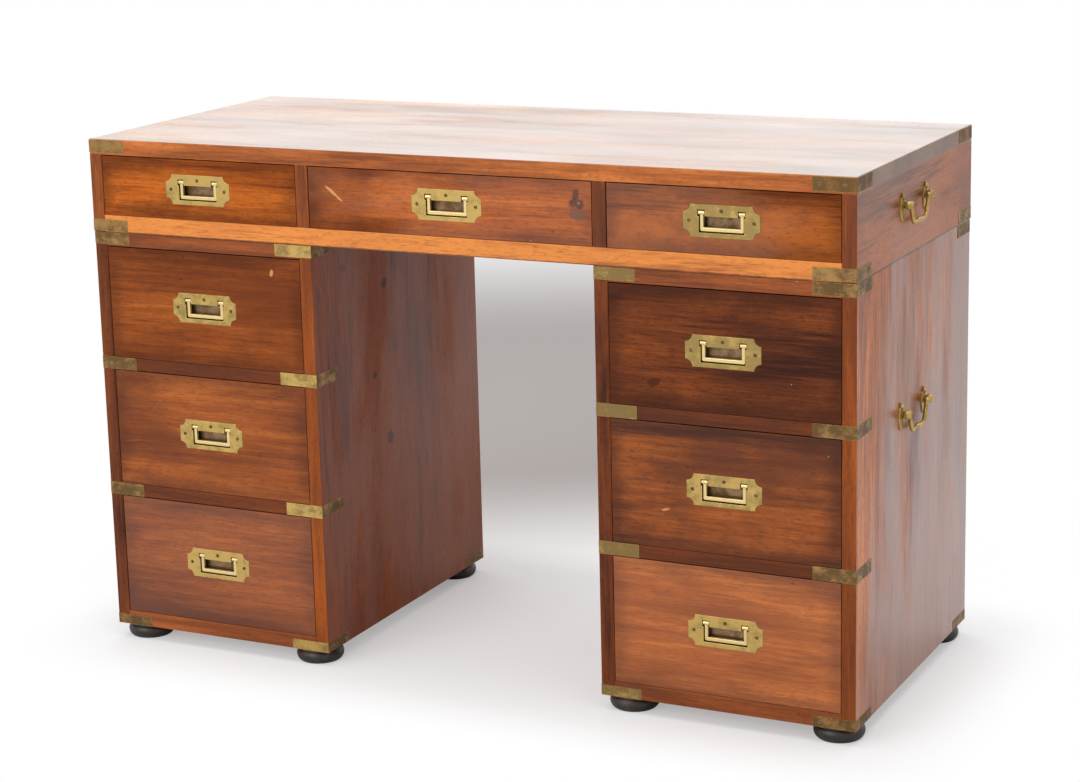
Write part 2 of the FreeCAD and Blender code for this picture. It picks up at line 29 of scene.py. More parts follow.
# Camera, in the photograph's 1080 by 782 frame
image_width = 1080
image_height = 782
focal_pixels = 2528.0
axis_pixel_y = 330
sensor_width = 36.0
sight_reach = 200.0
camera_place = Vector((1.6241, -3.254, 1.2798))
camera_azimuth = 26.31
camera_elevation = 12.54
camera_roll = -1.41

# A wood has three colours, the strength of its dark clouds and of the painted shade at its rim, a gloss and
# a coat of polish
Wood = namedtuple("Wood", "grain seed dark middle light shade gloss edge coat", defaults=(0.0, 0.0))
Brass = namedtuple("Brass", "seed tarnish bright dull")
# A mark lies on a board by its place along a level axis and its height, and is turned in degrees
Mark = namedtuple("Mark", "along z half_length half_width turn colour strength")
Light = namedtuple("Light", "name place target size radiance")

# Wood colours, linear
deep_brown = (0.040, 0.009, 0.003)
purple_brown = (0.085, 0.022, 0.008)
red_brown = (0.150, 0.034, 0.007)
chestnut = (0.210, 0.050, 0.009)
warm_brown = (0.270, 0.064, 0.010)
copper_brown = (0.370, 0.082, 0.008)
copper = (0.560, 0.140, 0.016)
orange_brown = (0.420, 0.110, 0.018)
bright_orange = (0.680, 0.200, 0.036)
highlit_golden_orange = (0.760, 0.250, 0.040)
dark_plum = (0.115, 0.028, 0.011)
plum = (0.240, 0.056, 0.014)
dark_tan = (0.120, 0.045, 0.012)
tan_brown = (0.330, 0.125, 0.024)
light_tan = (0.520, 0.210, 0.045)
old_pine = (0.330, 0.180, 0.080)
brown_pine = (0.250, 0.118, 0.046)
dusty_pine = (0.180, 0.090, 0.040)
ebony = (0.014, 0.009, 0.006)
rubbed_ebony = (0.080, 0.042, 0.022)

# Colours of marks on the wood, linear
knot_brown = (0.030, 0.014, 0.011)
pale_speck = (0.620, 0.460, 0.360)
ink = (0.012, 0.006, 0.005)
umber = (0.050, 0.018, 0.009)
grey_stain = (0.110, 0.058, 0.040)
bare_wood = (0.740, 0.360, 0.130)

# Brass colours, linear
pale_brass = (0.720, 0.560, 0.260)
clean_brass = (0.720, 0.500, 0.160)
yellow_brass = (0.520, 0.350, 0.105)
olive_brass = (0.300, 0.205, 0.065)
dull_brass = (0.360, 0.205, 0.068)
dark_brass = (0.220, 0.140, 0.048)
brown_brass = (0.130, 0.074, 0.026)
rust_brass = (0.275, 0.118, 0.034)
pink_brass = (0.260, 0.165, 0.095)
grime_brass = (0.040, 0.024, 0.010)
black_brass = (0.030, 0.020, 0.012)

# Grain: the order of the axes with the grain's own first, and how far one seed moves the figure
axis_order = {"x": (0, 2, 1), "y": (1, 0, 2), "z": (2, 0, 1)}
seed_step = (3.17, 1.73, 2.31)

# Wear and painted light: painted shade on the rims of fronts, rubbed edges that are also lightened as
# painted highlight, grime in recesses, and the share of dark in a whole film of polish
rim_reach = 0.030
wood_wear_and_highlight_width = 0.0016
brass_rub_width = 0.0007
grime_reach = 0.004
film_depth = 0.6
coat_roughness = 0.22

# The painted shadow line where the box lies on the pedestals
joint_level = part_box("box_sides")[0].z
seam_reach = 0.0030
seam_core = 0.0012
seam_waver = 0.0016

# Flush pulls: depth from which a face belongs to the well, and the screws' places on the plate
well_start = 0.002
screw_reach = 0.0028
screw_aside = 0.0455
screw_above = 0.0140


# Shader nodes

def material_tree(name):
    """A new material with an empty tree, and that tree."""
    material = bpy.data.materials.new(name)
    material.use_nodes = True
    material.node_tree.nodes.clear()
    return material, material.node_tree


def feed(tree, socket, value):
    """Links a socket to another, or sets its own value."""
    if isinstance(value, bpy.types.NodeSocket):
        tree.links.new(value, socket)
    elif socket.type == "RGBA":
        socket.default_value = (*value, 1.0)
    else:
        socket.default_value = value


def math_node(tree, operation, first, second=0.0, third=0.0):
    """One sum of the Math node."""
    node = tree.nodes.new("ShaderNodeMath")
    node.operation = operation
    for socket, value in zip(node.inputs, (first, second, third)):
        feed(tree, socket, value)
    return node.outputs[0]


def vector_node(tree, operation, first, second):
    """One sum of the Vector Math node."""
    node = tree.nodes.new("ShaderNodeVectorMath")
    node.operation = operation
    feed(tree, node.inputs[0], first)
    feed(tree, node.inputs[1], second)
    return node.outputs["Value" if operation == "DOT_PRODUCT" else "Vector"]


def axes(tree, vector):
    """The three numbers of a vector."""
    split = tree.nodes.new("ShaderNodeSeparateXYZ")
    feed(tree, split.inputs[0], vector)
    return split.outputs


def smooth(tree, value, low, high):
    """0 at low, 1 at high and a smooth step between."""
    node = tree.nodes.new("ShaderNodeMapRange")
    node.interpolation_type = "SMOOTHSTEP"
    feed(tree, node.inputs["Value"], value)
    feed(tree, node.inputs["From Min"], low)
    feed(tree, node.inputs["From Max"], high)
    return node.outputs[0]


def mixed(tree, factor, first, second):
    """Two colours mixed by a factor."""
    node = tree.nodes.new("ShaderNodeMix")
    node.data_type = "RGBA"
    feed(tree, node.inputs[0], factor)
    feed(tree, node.inputs[6], first)
    feed(tree, node.inputs[7], second)
    return node.outputs[2]


def tinted(tree, colour, mask, strength, tint):
    """A colour mixed towards a tint under a mask."""
    return mixed(tree, math_node(tree, "MULTIPLY", mask, strength), colour, tint)


def faded(tree, value, mask, share):
    """A number that loses a share of itself under a mask."""
    return math_node(tree, "MULTIPLY_ADD", mask, -value * share, value)


def noise(tree, vector, scale=1.0, detail=3.0, roughness=0.5, distortion=0.0):
    """The grey value of a noise texture."""
    node = tree.nodes.new("ShaderNodeTexNoise")
    feed(tree, node.inputs["Vector"], vector)
    node.inputs["Scale"].default_value = scale
    node.inputs["Detail"].default_value = detail
    node.inputs["Roughness"].default_value = roughness
    node.inputs["Distortion"].default_value = distortion
    return node.outputs["Fac"]


def streaks(tree, vector, along, across, **settings):
    """Noise with one scale along the grain and another across it."""
    return noise(tree, vector_node(tree, "MULTIPLY", vector, (along, across, across)), **settings)


def speckle(tree, vector, scale, radius, share):
    """Small round specks in a share of a Voronoi texture's cells."""
    node = tree.nodes.new("ShaderNodeTexVoronoi")
    feed(tree, node.inputs["Vector"], vector)
    node.inputs["Scale"].default_value = scale
    split = tree.nodes.new("ShaderNodeSeparateColor")
    feed(tree, split.inputs[0], node.outputs["Color"])
    chosen = math_node(tree, "LESS_THAN", split.outputs[0], share)
    spot = smooth(tree, node.outputs["Distance"], radius, radius * 0.4)
    return math_node(tree, "MULTIPLY", chosen, spot)


def coordinates(tree):
    """Object coordinates, which lie still on each piece when it moves."""
    return tree.nodes.new("ShaderNodeTexCoord").outputs["Object"]


def grain_vector(tree, grain, seed):
    """Object coordinates with the grain's axis first, moved by a seed."""
    numbers = axes(tree, coordinates(tree))
    joined = tree.nodes.new("ShaderNodeCombineXYZ")
    for socket, axis in zip(joined.inputs, axis_order[grain]):
        feed(tree, socket, numbers[axis])
    return vector_node(tree, "ADD", joined.outputs[0], [seed * step for step in seed_step])


def bump(tree, height, distance, strength=1.0, under=None):
    """A bump from a height value, on top of another if given."""
    node = tree.nodes.new("ShaderNodeBump")
    node.inputs["Strength"].default_value = strength
    node.inputs["Distance"].default_value = distance
    feed(tree, node.inputs["Height"], height)
    if under:
        feed(tree, node.inputs["Normal"], under)
    return node.outputs[0]


def edge_mask(tree, radius):
    """1 along the edges of a piece, 0 on its flats."""
    bevel = tree.nodes.new("ShaderNodeBevel")
    bevel.samples = 4
    bevel.inputs["Radius"].default_value = radius
    geometry = tree.nodes.new("ShaderNodeNewGeometry")
    facing = vector_node(tree, "DOT_PRODUCT", bevel.outputs[0], geometry.outputs["True Normal"])
    return smooth(tree, facing, 0.995, 0.80)


def recess_mask(tree, reach):
    """1 deep in the recesses of a piece, 0 on its open faces."""
    node = tree.nodes.new("ShaderNodeAmbientOcclusion")
    node.only_local = True
    node.samples = 6
    node.inputs["Distance"].default_value = reach
    return smooth(tree, node.outputs["AO"], 0.85, 0.35)


def surface(tree, colour, roughness, normal, metallic=0.0, gloss=0.5, coat=0.0):
    """The closing shader of a material."""
    shader = tree.nodes.new("ShaderNodeBsdfPrincipled")
    output = tree.nodes.new("ShaderNodeOutputMaterial")
    feed(tree, shader.inputs["Base Color"], colour)
    feed(tree, shader.inputs["Roughness"], roughness)
    feed(tree, shader.inputs["Normal"], normal)
    feed(tree, shader.inputs["Specular IOR Level"], gloss)
    shader.inputs["Metallic"].default_value = metallic
    feed(tree, shader.inputs["Coat Weight"], coat)
    shader.inputs["Coat Roughness"].default_value = coat_roughness
    tree.links.new(shader.outputs[0], output.inputs["Surface"])


# Wood

def frame_shade(tree, box):
    """1 near the rim of a board's front face and 0 in its middle, with an uneven border; it places painted
    shade.
    """
    low, high = box
    place = coordinates(tree)
    numbers = axes(tree, place)
    nearest = None
    for axis in (0, 2):
        for sign, limit in ((1, low[axis]), (-1, high[axis])):
            offset = math_node(tree, "MULTIPLY_ADD", numbers[axis], sign, -sign * limit)
            nearest = offset if nearest is None else math_node(tree, "MINIMUM", nearest, offset)
    uneven = noise(tree, place, 26.0, detail=4.0)
    nearest = math_node(tree, "MULTIPLY_ADD", uneven, -rim_reach, nearest)
    return smooth(tree, nearest, rim_reach * 0.55, -rim_reach * 0.4)


def mark_mask(tree, mark, across):
    """A small turned patch with a ragged border, placed by its height and one level axis."""
    place = coordinates(tree)
    numbers = axes(tree, place)
    aside = math_node(tree, "SUBTRACT", numbers[across], mark.along)
    above = math_node(tree, "SUBTRACT", numbers[2], mark.z)
    cosine = math.cos(math.radians(mark.turn))
    sine = math.sin(math.radians(mark.turn))
    total = math_node(tree, "MULTIPLY_ADD", noise(tree, place, 190.0, detail=4.0), 2.4, -0.7)
    for share_x, share_z, half in ((cosine, sine, mark.half_length), (-sine, cosine, mark.half_width)):
        along = math_node(tree, "MULTIPLY", above, share_z / half)
        along = math_node(tree, "MULTIPLY_ADD", aside, share_x / half, along)
        total = math_node(tree, "MULTIPLY_ADD", along, along, total)
    return math_node(tree, "MULTIPLY", smooth(tree, total, 1.75, 0.9), mark.strength)


def seam_shadow_mask(tree):
    """1 in the painted shadow line where the box lies on the pedestals, on upright faces only."""
    place = coordinates(tree)
    height = axes(tree, place)[2]
    off_line = math_node(tree, "ABSOLUTE", math_node(tree, "SUBTRACT", height, joint_level))
    off_line = math_node(tree, "MULTIPLY_ADD", noise(tree, place, 90.0), seam_waver, off_line)
    line = smooth(tree, off_line, seam_reach, seam_core)
    normal = tree.nodes.new("ShaderNodeNewGeometry").outputs["True Normal"]
    upright = smooth(tree, math_node(tree, "ABSOLUTE", axes(tree, normal)[2]), 0.6, 0.3)
    return math_node(tree, "MULTIPLY", line, upright)


def wood_colour(tree, look, vector):
    """Figure, streaks and fibres along the grain, with darker clouds, pores and mottle."""
    figure = streaks(tree, vector, 2.2, 13.0, detail=5.0, roughness=0.55, distortion=0.8)
    streak = streaks(tree, vector, 6.0, 130.0, roughness=0.6, distortion=0.3)
    fibre = streaks(tree, vector, 22.0, 520.0, detail=2.0)
    cloud = streaks(tree, vector, 4.0, 8.0, detail=5.0, roughness=0.6)
    pore = streaks(tree, vector, 45.0, 620.0, detail=1.0)
    mottle = streaks(tree, vector, 110.0, 230.0, detail=4.0, roughness=0.6)
    blend = math_node(tree, "MULTIPLY_ADD", streak, 0.28, math_node(tree, "MULTIPLY", figure, 0.56))
    blend = math_node(tree, "MULTIPLY_ADD", fibre, 0.16, blend)
    pores = smooth(tree, pore, 0.62, 0.72)
    colour = mixed(tree, smooth(tree, blend, 0.38, 0.51), look.dark, look.middle)
    colour = mixed(tree, smooth(tree, blend, 0.48, 0.62), colour, look.light)
    colour = tinted(tree, colour, smooth(tree, cloud, 0.44, 0.66), look.shade, look.dark)
    colour = tinted(tree, colour, pores, 0.38, deep_brown)
    colour = tinted(tree, colour, smooth(tree, mottle, 0.48, 0.72), 0.45, look.dark)
    return colour, fibre, pores


def scratch_mask(tree, vector):
    """Thin crooked scratches in some places."""
    line = streaks(tree, vector, 9.0, 30.0, detail=2.0, distortion=1.4)
    off_line = math_node(tree, "ABSOLUTE", math_node(tree, "SUBTRACT", line, 0.5))
    where = smooth(tree, noise(tree, vector, 9.0, detail=2.0), 0.56, 0.66)
    return math_node(tree, "MULTIPLY", smooth(tree, off_line, 0.006, 0.0), where)


def used_colour(tree, look, vector, colour, dent, scratch):
    """A wood colour with pale specks, dark dents, light scratches, and edges lightened as rubbed wear and as
    painted highlight.
    """
    colour = tinted(tree, colour, speckle(tree, vector, 45.0, 0.055, 0.10), 0.55, pale_speck)
    colour = tinted(tree, colour, dent, 0.6, deep_brown)
    colour = tinted(tree, colour, scratch, 0.35, look.light)
    patchy = noise(tree, vector, 60.0, detail=4.0)
    # Rubbed wear and painted highlight: the edges are lightened in patches
    wear = math_node(tree, "MULTIPLY", edge_mask(tree, wood_wear_and_highlight_width), patchy)
    return tinted(tree, colour, wear, 0.8, look.light)


def wood_normal(tree, vector, fibre, pores, dent, scratch):
    """Open pores, dents and scratches on a board that is no longer quite flat."""
    normal = bump(tree, math_node(tree, "MULTIPLY_ADD", pores, -0.7, fibre), 0.00012, 0.8)
    hollow = math_node(tree, "MAXIMUM", dent, math_node(tree, "MULTIPLY", scratch, 0.5))
    normal = bump(tree, math_node(tree, "MULTIPLY", hollow, -1.0), 0.0006, 0.7, normal)
    wave = streaks(tree, vector, 4.0, 9.0, detail=1.0)
    return bump(tree, wave, 0.0012, 0.35, normal)


def dull_mask(tree, vector, slope):
    """1 where the polish is worn dull, in streaks along the grain, more towards one end if sloped."""
    dull = streaks(tree, vector, 1.8, 9.0, detail=7.0, roughness=0.65, distortion=0.4)
    if slope:
        dull = math_node(tree, "ADD", dull, vector_node(tree, "DOT_PRODUCT", coordinates(tree), slope))
    return smooth(tree, dull, 0.44, 0.68)


def worn_polish(tree, look, vector, colour, worn, slope):
    """Colour, gloss and coat of a worn board; a sloped coat darkens the wood where it is left."""
    dull = dull_mask(tree, vector, slope)
    gloss = faded(tree, look.gloss, dull, worn)
    coat = faded(tree, look.coat, dull, worn) if look.coat else look.coat
    if look.coat and slope:
        colour = mixed(tree, faded(tree, film_depth, dull, 1.0), colour, look.dark)
    return colour, gloss, coat


def wood(name, look, rim=None, marks=(), across=0, worn=0.0, slope=None, seam=False):
    """Old polished hardwood with grain along one axis, what use has done to it, painted shade at its rim and
    joint line, and painted highlight on its edges.
    """
    material, tree = material_tree(name)
    vector = grain_vector(tree, look.grain, look.seed)
    colour, fibre, pores = wood_colour(tree, look, vector)
    # Painted shade: the front darkens towards its rim, next to the gaps around the drawer
    if rim:
        colour = tinted(tree, colour, frame_shade(tree, rim), look.edge, deep_brown)
    for mark in marks:
        colour = mixed(tree, mark_mask(tree, mark, across), colour, mark.colour)
    # Painted shadow: a dark line at the joint of box and pedestals
    if seam:
        colour = mixed(tree, seam_shadow_mask(tree), colour, deep_brown)
    dent = speckle(tree, vector, 38.0, 0.10, 0.26)
    scratch = scratch_mask(tree, vector)
    colour = used_colour(tree, look, vector, colour, dent, scratch)
    gloss = look.gloss
    coat = look.coat
    if worn:
        colour, gloss, coat = worn_polish(tree, look, vector, colour, worn, slope)
    haze = streaks(tree, vector, 3.0, 7.0, detail=4.0)
    roughness = math_node(tree, "MULTIPLY_ADD", haze, 0.30, 0.22)
    roughness = math_node(tree, "MULTIPLY_ADD", scratch, 0.2, roughness)
    normal = wood_normal(tree, vector, fibre, pores, dent, scratch)
    surface(tree, colour, roughness, normal, gloss=gloss, coat=coat)
    return material


def lining(name, grain, seed):
    """Plain drawer lining, bare and dry."""
    material, tree = material_tree(name)
    vector = grain_vector(tree, grain, seed)
    streak = streaks(tree, vector, 3.0, 60.0, detail=4.0, roughness=0.6, distortion=0.4)
    fibre = streaks(tree, vector, 20.0, 480.0, detail=2.0)
    dust = noise(tree, vector, 14.0, detail=5.0, roughness=0.6)
    colour = mixed(tree, smooth(tree, streak, 0.35, 0.68), brown_pine, old_pine)
    colour = tinted(tree, colour, smooth(tree, dust, 0.5, 0.75), 0.5, dusty_pine)
    roughness = math_node(tree, "MULTIPLY_ADD", dust, 0.25, 0.5)
    surface(tree, colour, roughness, bump(tree, fibre, 0.0002, 0.9))
    return material


def foot_wood(name):
    """Ebonised turned feet with rubbed places and fine lathe lines."""
    material, tree = material_tree(name)
    place = coordinates(tree)
    rubbed = noise(tree, place, 38.0, detail=5.0, roughness=0.6)
    lathe = noise(tree, vector_node(tree, "MULTIPLY", place, (12.0, 12.0, 900.0)), detail=2.0)
    colour = mixed(tree, smooth(tree, rubbed, 0.52, 0.74), ebony, rubbed_ebony)
    roughness = math_node(tree, "MULTIPLY_ADD", rubbed, 0.3, 0.28)
    surface(tree, colour, roughness, bump(tree, lathe, 0.0002, 0.6))
    return material


# Brass

def brass(name, look):
    """Old brass: tarnish in clouds and recesses, bright rubbed edges, fine scratches."""
    material, tree = material_tree(name)
    place = grain_vector(tree, "x", look.seed)
    cloud = noise(tree, place, 55.0, detail=5.0, roughness=0.62)
    fine = noise(tree, place, 420.0)
    hair = streaks(tree, place, 60.0, 900.0, detail=2.0, distortion=0.6)
    cover = math_node(tree, "MULTIPLY_ADD", fine, 0.35, cloud)
    cover = smooth(tree, cover, 0.80 - look.tarnish, 1.16 - look.tarnish)
    colour = mixed(tree, cover, look.bright, look.dull)
    colour = tinted(tree, colour, recess_mask(tree, grime_reach), 0.75, grime_brass)
    colour = tinted(tree, colour, edge_mask(tree, brass_rub_width), 0.7, clean_brass)
    colour = tinted(tree, colour, speckle(tree, place, 260.0, 0.16, 0.10), 0.6, brown_brass)
    roughness = math_node(tree, "MULTIPLY_ADD", cover, 0.22, 0.26)
    roughness = math_node(tree, "MULTIPLY_ADD", hair, 0.12, roughness)
    normal = bump(tree, hair, 0.00006, 0.7)
    normal = bump(tree, cloud, 0.0008, 0.4, normal)
    surface(tree, colour, roughness, normal, metallic=0.8)
    return material


# What each node is made of

def dress(name, material, *patches):
    """Gives a node its material, and other materials to the faces that their tests choose."""
    mesh = nodes[name].data
    mesh.materials.clear()
    mesh.materials.append(material)
    for index, (patch, chosen) in enumerate(patches, 1):
        mesh.materials.append(patch)
        for face in mesh.polygons:
            if chosen(face):
                face.material_index = index


def looks_forward(face):
    """Whether a face looks to the front."""
    return face.normal.y < -0.5


def middle_of(name):
    """The middle of a node's box."""
    low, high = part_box(name)
    return (low + high) / 2


# Drawers

drawer_looks = {
    "frieze_left": Wood("x", 1.0, red_brown, copper_brown, copper, shade=0.7, gloss=0.08, edge=0.45),
    "frieze_middle": Wood("x", 2.0, red_brown, copper_brown, copper, shade=0.9, gloss=0.42, edge=0.35),
    "frieze_right": Wood("x", 3.0, red_brown, orange_brown, orange_brown, shade=0.7, gloss=0.40, edge=0.40),
    "left_upper": Wood("x", 4.0, red_brown, warm_brown, orange_brown, shade=0.6, gloss=0.10, edge=0.40),
    "left_middle": Wood("x", 5.0, red_brown, warm_brown, orange_brown, shade=0.6, gloss=0.20, edge=0.40),
    "left_lower": Wood("x", 6.0, red_brown, warm_brown, orange_brown, shade=0.5, gloss=0.45, edge=0.35),
    "right_upper": Wood("x", 7.0, deep_brown, red_brown, warm_brown, shade=0.5, gloss=0.12, edge=0.6),
    "right_middle": Wood("x", 8.0, purple_brown, warm_brown, orange_brown, shade=0.7, gloss=0.20, edge=0.6),
    "right_lower": Wood("x", 9.0, warm_brown, orange_brown, bright_orange, shade=0.5, gloss=0.45, edge=0.35),
}
drawer_marks = {
    "frieze_middle": [
        Mark(0.196, 0.725, 0.0055, 0.0085, 0.0, umber, 0.8),
        Mark(0.198, 0.697, 0.0125, 0.0105, 0.0, grey_stain, 0.65),
        Mark(0.197, 0.711, 0.0125, 0.0075, 0.0, ink, 0.75),
        Mark(0.2005, 0.712, 0.0025, 0.0025, 0.0, pale_speck, 0.2),
        Mark(-0.178, 0.706, 0.018, 0.0022, -38.0, bare_wood, 0.7),
    ],
    "left_upper": [Mark(-0.288, 0.585, 0.0030, 0.0055, -10.0, bare_wood, 0.7)],
    "right_upper": [Mark(0.305, 0.475, 0.010, 0.006, 20.0, deep_brown, 0.7)],
    "right_middle": [Mark(0.320, 0.300, 0.007, 0.0018, 15.0, bare_wood, 0.6)],
}
drawer_wear = {
    "frieze_middle": {"worn": 0.8, "slope": (-0.6, 0.0, 0.0)},
    "frieze_right": {"worn": 0.9, "slope": (0.9, 0.0, -0.5)},
}
pull_tarnish = {
    "frieze_left": 0.22,
    "frieze_middle": 0.20,
    "frieze_right": 0.44,
    "left_upper": 0.32,
    "left_middle": 0.26,
    "left_lower": 0.16,
    "right_upper": 0.42,
    "right_middle": 0.28,
    "right_lower": 0.20,
}


def is_screw(face, middle):
    """Whether a face of a pull belongs to one of its screws."""
    across = abs(face.center.x - middle.x)
    above = face.center.z - middle.z
    at_side = math.hypot(across - screw_aside, above) < screw_reach
    return at_side or math.hypot(across, above - screw_above) < screw_reach


def dress_pull(drawer, number):
    """Plate and well floor of a pull, its dark screws, painted shade on the well walls, and its bail."""
    name = drawer + "_pull"
    middle = middle_of(name)
    well_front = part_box(name)[0].y + well_start
    plate = Brass(30.0 + number, pull_tarnish[drawer], yellow_brass, olive_brass)
    floor = Brass(40.0 + number, 0.30, pink_brass, brown_brass)
    # Dark brass for the screws, also used as painted shade on the well walls
    shade = Brass(20.0 + number, 0.30, brown_brass, black_brass)
    bail = Brass(50.0 + number, 0.20, pale_brass, clean_brass)

    def on_floor(face):
        return face.center.y > well_front and looks_forward(face)

    def in_shade(face):
        on_wall = face.center.y > well_front and not looks_forward(face)
        return on_wall or is_screw(face, middle)

    dress(
        name,
        brass("brass_" + drawer, plate),
        (brass("brass_well_" + drawer, floor), on_floor),
        (brass("brass_screws_and_well_shade_" + drawer, shade), in_shade),
    )
    dress(drawer + "_bail", brass("brass_bail_" + drawer, bail))


def dress_drawers():
    """Fronts, linings and pulls of the nine drawers."""
    for number, (drawer, look) in enumerate(drawer_looks.items()):
        front = drawer + "_front"
        marks = drawer_marks.get(drawer, ())
        wear = drawer_wear.get(drawer, {})
        dress(front, wood("wood_" + front, look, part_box(front), marks, **wear))
        dress(drawer + "_box", lining("lining_" + drawer, "y", 20.0 + number))
        dress_pull(drawer, number)


# Box

top_wear_slope = (-0.12, 0.10, 0.0)


def dress_top():
    """The top board with its worn polish, and its front edge."""
    polished = Wood("x", 10.0, dark_tan, tan_brown, light_tan, shade=0.5, gloss=0.55, coat=0.5)
    edge = Wood("x", 19.0, chestnut, orange_brown, bright_orange, shade=0.5, gloss=0.25)
    top = wood("wood_top", polished, worn=0.5, slope=top_wear_slope)
    dress("top_board", top, (wood("wood_top_edge", edge), looks_forward))


def dress_box():
    """Sides with their front edges, back, bottom and runners of the drawer box."""
    ends = Wood("y", 11.0, red_brown, orange_brown, orange_brown, shade=0.6, gloss=0.7, coat=0.1)
    stiles = Wood("z", 76.0, red_brown, chestnut, orange_brown, shade=0.4, gloss=0.2)
    back = Wood("x", 12.0, red_brown, warm_brown, orange_brown, shade=0.4, gloss=0.3)
    outside = wood("wood_box_sides", ends, worn=0.5, seam=True)
    dress("box_sides", outside, (wood("wood_box_stiles", stiles, seam=True), looks_forward))
    dress("box_back", wood("wood_box_back", back, worn=0.5))
    dress("box_bottom", lining("lining_bottom", "x", 15.0))
    dress("box_runners", lining("lining_runners", "y", 16.0))


def dress_box_front():
    """The rail under the frieze drawers, lightened partly as painted highlight, the dividers between them,
    and the box's corner straps.
    """
    drawer_low, drawer_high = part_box("frieze_middle_front")
    # The rail's golden orange is partly painted highlight, for the light it catches from above
    rail = Wood("x", 13.0, orange_brown, highlit_golden_orange, highlit_golden_orange, shade=0.2, gloss=0.35)
    divider = Wood("z", 14.0, purple_brown, red_brown, warm_brown, shade=0.3, gloss=0.2)

    def on_divider(face):
        return face.center.z > drawer_low.z

    def on_upper_right(face):
        return face.center.x > 0 and face.center.z > drawer_high.z

    bright = wood("wood_box_rail", rail, seam=True)
    dress("box_front_frame", bright, (wood("wood_dividers", divider), on_divider))
    straps = brass("brass_box_straps", Brass(60.0, 0.28, dull_brass, brown_brass))
    brown = brass("brass_brown_straps", Brass(61.0, 0.40, rust_brass, brown_brass))
    dress("box_straps", straps, (brown, on_upper_right))


# Pedestals

side_looks = {
    # The left sides' plum is partly painted shade, as their kneehole side lies in shadow
    "left": Wood("z", 17.0, dark_plum, plum, warm_brown, shade=0.5, gloss=0.36),
    "right": Wood("z", 18.0, red_brown, orange_brown, bright_orange, shade=0.4, gloss=0.75, coat=0.8),
}
side_wear = {
    "left": {"worn": 0.75},
    "right": {"worn": 0.75, "slope": (0.0, -0.50, 0.10)},
}
side_knots = {
    "left": [
        Mark(-0.045, 0.536, 0.010, 0.008, 0.0, knot_brown, 0.7),
        Mark(-0.082, 0.403, 0.007, 0.006, 0.0, knot_brown, 0.6),
        Mark(-0.042, 0.298, 0.010, 0.011, 0.0, knot_brown, 0.8),
        Mark(-0.162, 0.580, 0.009, 0.006, 0.0, knot_brown, 0.5),
    ],
    "right": [],
}
# Tarnish of the kneehole-side straps; the left pedestal's low value brightens them as painted highlight
inner_strap_tarnish_and_sheen = {"left": 0.24, "right": 0.48}


def dress_sides(side, number):
    """A pedestal's sides, with a darker left and a lighter right front edge."""
    name = side + "_pedestal_sides"
    material = "wood_" + side + "_pedestal_"
    centre = middle_of(name).x
    dark = Wood("z", 74.0 + number, deep_brown, red_brown, chestnut, shade=0.4, gloss=0.15)
    light = Wood("z", 77.0 + number, red_brown, chestnut, copper_brown, shade=0.4, gloss=0.15)

    def on_left_edge(face):
        return looks_forward(face) and face.center.x < centre

    def on_right_edge(face):
        return looks_forward(face) and face.center.x > centre

    knots = {"marks": side_knots[side], "across": 1}
    dress(
        name,
        wood(material + "sides", side_looks[side], seam=True, **knots, **side_wear[side]),
        (wood(material + "dark_stile", dark), on_left_edge),
        (wood(material + "light_stile", light), on_right_edge),
    )


def dress_straps(side, number):
    """A pedestal's straps, with the ones on the kneehole's side in another brass."""
    name = side + "_pedestal_straps"
    centre = middle_of(side + "_pedestal_sides").x
    outer = Brass(62.0 + number, 0.39, dull_brass, brown_brass)
    inner = Brass(64.0 + number, inner_strap_tarnish_and_sheen[side], yellow_brass, dark_brass)

    def on_inner_side(face):
        return looks_forward(face) and abs(face.center.x) < abs(centre)

    # The kneehole-side straps' own brass, brighter on the left pedestal as painted highlight
    rubbed = brass("brass_" + side + "_pedestal_inner_straps", inner)
    dress(name, brass("brass_" + name, outer), (rubbed, on_inner_side))


def dress_pedestals():
    """Both pedestals."""
    for number, side in enumerate(side_looks):
        name = side + "_pedestal_"
        boards = Wood("x", 70.0 + number, red_brown, warm_brown, orange_brown, shade=0.3, gloss=0.25)
        rails = Wood("x", 72.0 + number, purple_brown, red_brown, chestnut, shade=0.3, gloss=0.15)
        dress_sides(side, number)
        dress(name + "boards", wood("wood_" + name + "boards", boards, seam=True))
        dress(name + "rails_and_runners", wood("wood_" + name + "rails", rails))
        dress(name + "feet", foot_wood("wood_" + name + "feet"))
        dress_straps(side, number)


def dress_carrying_handles():
    """Posts and bails on the ends."""
    names = sorted(name for name in nodes if name.endswith(("handle_posts", "carry_bail")))
    for number, name in enumerate(names):
        dress(name, brass("brass_" + name, Brass(80.0 + number, 0.26, yellow_brass, olive_brass)))


# Stage: floor colours, the least white near the desk, where the painted grey shadow strip fades in and out,
# and the light
desk_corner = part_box("top_board")[1]
floor_size = 80.0
floor_pale = (0.93, 0.93, 0.94)
floor_shadow_grey = (0.42, 0.39, 0.38)
least_white = 0.38
shadow_reach = 0.17
strip_start = (-0.05, 0.95)
strip_end = (4.4, 2.0)
strip_border = (0.85, 0.12)
world_light = 0.6
lights = [
    Light("key", (-1.4, -3.8, 2.0), (0.0, 0.0, 0.4), (2.4, 2.0), 4.0),
    Light("overhead", (0.0, 0.2, 3.4), (0.0, 0.2, 0.0), (4.0, 4.0), 1.4),
    Light("back", (-1.8, 4.6, 1.4), (0.0, 0.0, 0.7), (6.0, 2.4), 1.0),
]


def along_floor(tree, place, turn):
    """How far a point of the floor lies from the middle in one direction."""
    return vector_node(tree, "DOT_PRODUCT", place, (math.cos(turn), math.sin(turn), 0.0))


